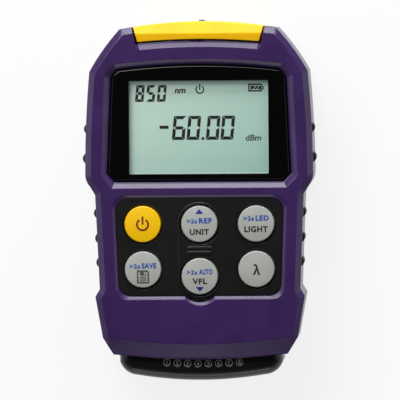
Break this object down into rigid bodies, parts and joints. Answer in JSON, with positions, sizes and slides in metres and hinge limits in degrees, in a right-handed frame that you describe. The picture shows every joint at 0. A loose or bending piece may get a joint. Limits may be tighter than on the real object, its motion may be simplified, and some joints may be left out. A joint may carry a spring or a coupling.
{
  "type": "optical power meter",
  "caption": "Handheld fibre optic power meter with a display, round keys, a hinged flap over its optical ports and a cable socket in its end cap.",
  "frame": {"origin": "centre of the bounding box on the plane of the rear face", "axes": "+Z out of the display, +Y along the case towards the optical ports, +X to the right of the display"},
  "size_m": [0.0772, 0.1193, 0.0324],
  "materials": {
    "case_plastic": "finely grained ABS",
    "screw_steel": "zinc plated",
    "grip_rubber": "moulded",
    "window_acrylic": "polished, black border printed behind",
    "gasket_foam": "die-cut foam tape",
    "display_glass": "reflective display",
    "light_guide": "clear acrylic",
    "holder_plastic": "moulded",
    "contact_rubber": "silicone",
    "keypad_plastic": "matt black",
    "circuit_board": "solder mask",
    "chip_epoxy": "moulded epoxy",
    "adapter_brass": "nickel plated",
    "module_steel": "turned",
    "led_epoxy": "clear epoxy",
    "flap_plastic": "yellow ABS",
    "cap_plastic": "smoked polycarbonate",
    "jack_steel": "shielded jack",
    "contact_brass": "gold plated",
    "cell_jacket": "plain jacket",
    "contact_steel": "spring steel",
    "door_plastic": "finely grained ABS",
    "yellow_key": "satin",
    "grey_key": "satin"
  },
  "bodies": {
    "meter": {"amplifier_chip": "chip_epoxy", "battery_cell_1": "cell_jacket", "battery_cell_2": "cell_jacket", "battery_cell_3": "cell_jacket", "battery_plates": "contact_steel", "battery_springs": "contact_steel", "detector_adapter": "adapter_brass", "detector_module": "module_steel", "display_window": "window_acrylic", "end_cap": "cap_plastic", "front_shell": "case_plastic", "grip_studs_left": "grip_rubber", "grip_studs_right": "grip_rubber", "hinge_pin": "screw_steel", "keypad_mat": "contact_rubber", "keypad_panel": "keypad_plastic", "lan_board": "circuit_board", "lan_jack": "jack_steel", "lan_jack_contacts": "contact_brass", "lan_lamps": "led_epoxy", "laser_adapter": "adapter_brass", "laser_module": "module_steel", "lcd_backlight": "light_guide", "lcd_frame": "holder_plastic", "lcd_panel": "display_glass", "main_board": "circuit_board", "processor_chip": "chip_epoxy", "rear_shell": "case_plastic", "shell_screws": "screw_steel", "torch_led": "led_epoxy", "window_gasket": "gasket_foam", "zebra_strip": "contact_rubber"},
    "flap": {"port_flap": "flap_plastic"},
    "door": {"battery_door": "door_plastic"},
    "power_button": {"power_key": "yellow_key"},
    "unit_button": {"unit_key": "grey_key"},
    "light_button": {"light_key": "grey_key"},
    "save_button": {"save_key": "grey_key"},
    "wavelength_button": {"wavelength_key": "grey_key"},
    "laser_button": {"laser_key": "grey_key"}
  },
  "joints": [
    {"name": "flap_hinge", "type": "hinge", "parent": "meter", "child": "flap", "pos_m": [0, 0.0552, 0.0044], "axis": [-1, 0, 0], "range_deg": [0, 90]},
    {"name": "door_slide", "type": "slide", "parent": "meter", "child": "door", "axis": [0, -1, 0], "range_m": [0, 0.055]},
    {"name": "power_press", "type": "slide", "parent": "meter", "child": "power_button", "axis": [0, 0, -1], "range_m": [0, 0.0008], "stiffness_N_per_m": 400, "springref_m": -0.002, "deforming": ["keypad_mat"]},
    {"name": "unit_press", "type": "slide", "parent": "meter", "child": "unit_button", "axis": [0, 0, -1], "range_m": [0, 0.0008], "stiffness_N_per_m": 400, "springref_m": -0.002, "deforming": ["keypad_mat"]},
    {"name": "light_press", "type": "slide", "parent": "meter", "child": "light_button", "axis": [0, 0, -1], "range_m": [0, 0.0008], "stiffness_N_per_m": 400, "springref_m": -0.002, "deforming": ["keypad_mat"]},
    {"name": "save_press", "type": "slide", "parent": "meter", "child": "save_button", "axis": [0, 0, -1], "range_m": [0, 0.0008], "stiffness_N_per_m": 400, "springref_m": -0.002, "deforming": ["keypad_mat"]},
    {"name": "wavelength_press", "type": "slide", "parent": "meter", "child": "wavelength_button", "axis": [0, 0, -1], "range_m": [0, 0.0008], "stiffness_N_per_m": 400, "springref_m": -0.002, "deforming": ["keypad_mat"]},
    {"name": "laser_press", "type": "slide", "parent": "meter", "child": "laser_button", "axis": [0, 0, -1], "range_m": [0, 0.0008], "stiffness_N_per_m": 400, "springref_m": -0.002, "deforming": ["keypad_mat"]}
  ]
}
